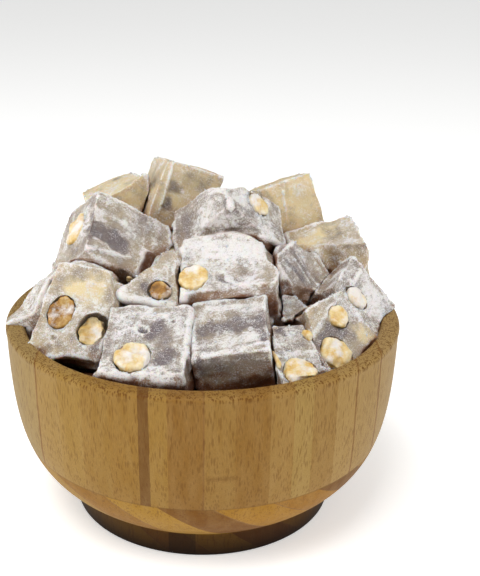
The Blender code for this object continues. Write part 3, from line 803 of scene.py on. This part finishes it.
# Marks on a nut are measured from the middle of its box, along the axes of the block that holds it.
nuts = {
    "front_left": dict(block="front_left", marks=[("powder", (4, 2, 1), (4, -2, 1), 2)]),
    "middle": dict(block="middle", marks=[("powder", (-2, 3, 1), (2, 4, 1), 2)]),
    "middle_left": dict(block="middle_left", marks=[]),
    "upper_left": dict(block="upper_left", marks=[("powder", (0, 0, 2), (0, 3, 2), 3)]),
    "left_front_roasted": dict(block="left_front", marks=[]),
    "left_front_broken": dict(block="left_front", growth=-0.3, marks=[
        ("hollow", (1, 1, 2), (1.5, 0, 2), 4.5), ("powder", (1.5, 1, 0), (2, -0.5, 0), 3.5)]),
    "front_right": dict(block="front_right", marks=[("powder", (-4, 2, 1), (2, 4, 1), 2)]),
    "right_front_upper": dict(block="right_front", marks=[]),
    "right_front_lower": dict(block="right_front", marks=[("powder", (0, 0, 2), (2, 2, 2), 2)]),
    "right_side": dict(block="right_side", marks=[("powder", (-1, -2, 2), (1, 2, 2), 6)]),
    "upper_middle": dict(block="upper_middle", marks=[("powder", (-3, 0, 2), (-3, 3, 2), 3)]),
}
# crumbs of nut in the gel: block, place in its own millimetres, half lengths
nutBits = [("right_front", (-12.5, 5.5, 11.2), (1.3, 2.2, 1.2)), ("front_right", (-6.8, -3, 13.6), (0.9, 3.8, 1.4)),
           ("upper_left", (6, -13.8, 11), (1.8, 1.0, 1.5))]
roastedNuts = {"left_front_roasted", "middle_left"}
nutWork = dict(voxel=0.3, lumps=0.95, crumb=0.22, growth=0.35)


def nutMaterial(name, flesh, pale, deep):
    # shelled nut, sawn across with the block: waxy cream flesh with a grain of crumbs, smeared with sugar
    material, tree, shader = newMaterial(name, Roughness=0.5, IOR=1.46, Subsurface_Weight=0.2,
                                         Subsurface_Scale=1.0, Subsurface_Radius=(1.6 * mm, 0.9 * mm, 0.4 * mm))
    local = addNode(tree, "Attribute", attribute_name="local")["Vector"]
    dust = addNode(tree, "Attribute", attribute_name="dust")["Fac"]
    crest = addNode(tree, "Attribute", attribute_name="crest")["Fac"]
    blotches = addNode(tree, "TexNoise", {"Vector": local, "Scale": 0.3, "Detail": 4.0, "Roughness": 0.6})["Fac"]
    crumbs = addNode(tree, "TexNoise", {"Vector": local, "Scale": 1.8, "Detail": 5.0, "Roughness": 0.7})["Fac"]
    color = addNode(tree, "ValToRGB", {"Fac": blotches}, stops=[(0.3, deep), (0.5, flesh), (0.68, pale)])[0]
    # painted shade: the flesh darkens to its deep tone in hollows, where the crest is low
    dark = addNode(tree, "MapRange", {"Value": crest, "From Min": -0.25, "From Max": 0.1,
                                      "To Min": 0.7, "To Max": 0.0})[0]
    color = addNode(tree, "Mix", {"Factor": dark, "A": color, "B": deep}, data_type="RGBA")[2]
    smear = addNode(tree, "Math", {0: dust, 1: crumbs}, operation="ADD")[0]
    smear = addNode(tree, "MapRange", {"Value": smear, "From Min": 0.62, "From Max": 1.25, "To Max": 0.85})[0]
    color = addNode(tree, "Mix", {"Factor": smear, "A": color, "B": gel["sugar"]}, data_type="RGBA")[2]
    tree.links.new(color, shader.inputs["Base Color"])
    bump = addNode(tree, "Bump", {"Height": crumbs, "Strength": 0.5, "Distance": 0.35 * mm})[0]
    tree.links.new(bump, shader.inputs["Normal"])
    return material


def workNut(surface, seed, marks, growth, turned):
    # swell the nut to touch its gel, break its edge up and roughen the cut
    middle = (surface.points.max(0) + surface.points.min(0)) / 2
    offset = surface.points - middle
    local = offset @ np.array(turned.to_3x3()) / mm
    jitter = noiseAt(local, 2.2, seed)
    amounts = markAmounts(local, marks, jitter)
    lift = (growth + nutWork["lumps"] * noiseAt(local, 3.4, seed + 3)
            + nutWork["crumb"] * fractalAt(local, 1.3, seed + 6) + 1.8 * np.minimum(amounts["lift"], 0))
    surface.write(surface.points + surface.normals() * (lift * mm)[:, None])
    surface.write(surface.smoothed(surface.points, 1, 0.4))
    crest = surface.crests(4)
    surface.paint("dust", np.clip(0.15 + amounts["dust"] + 0.8 * fractalAt(local, 4.5, seed + 8), 0, 1))
    surface.paint("crest", crest)
    surface.paint("local", local)


def makeNuts():
    materials = {
        "cut_nut": nutMaterial("cut hazelnut dusted with sugar", "#e6cf98", "#f1e6c6", "#cf9f3f"),
        "roasted_nut": nutMaterial("roasted nut broken open", "#a9772b", "#cfae6c", "#5e3a0c"),
    }
    for index, (name, nut) in enumerate(nuts.items()):
        slot = "roasted_nut" if name in roastedNuts else "cut_nut"
        surface = Surface(remeshed("nut_" + name, nutWork["voxel"]))
        surface.write(surface.smoothed(surface.points, 2, 0.5))
        growth = nut.get("growth", nutWork["growth"])
        workNut(surface, index + 11, nut["marks"], growth, blockMatrix(blocks[nut["block"]]))
        newPiece("nut_half_" + name, surface.mesh, materials[slot], "nut_" + name)
    bm = bmesh.new()
    for name, at, size in nutBits:
        place = blockMatrix(blocks[name]) @ Matrix.Translation(Vector(at) * mm) @ Matrix.Diagonal((*(Vector(size) * mm), 1))
        bmesh.ops.create_icosphere(bm, subdivisions=4, radius=1.0, matrix=place)
    mesh = bpy.data.meshes.new("bits")
    bm.to_mesh(mesh)
    bm.free()
    surface = Surface(mesh)
    workNut(surface, 40, [], -0.1, Matrix())
    newPiece("nut_bits", mesh, materials["cut_nut"])
    print("nuts shaped:", len(nuts), "and bits:", len(nutBits))


makeStudio()
makeBowl()
makeBlocks()
makeNuts()
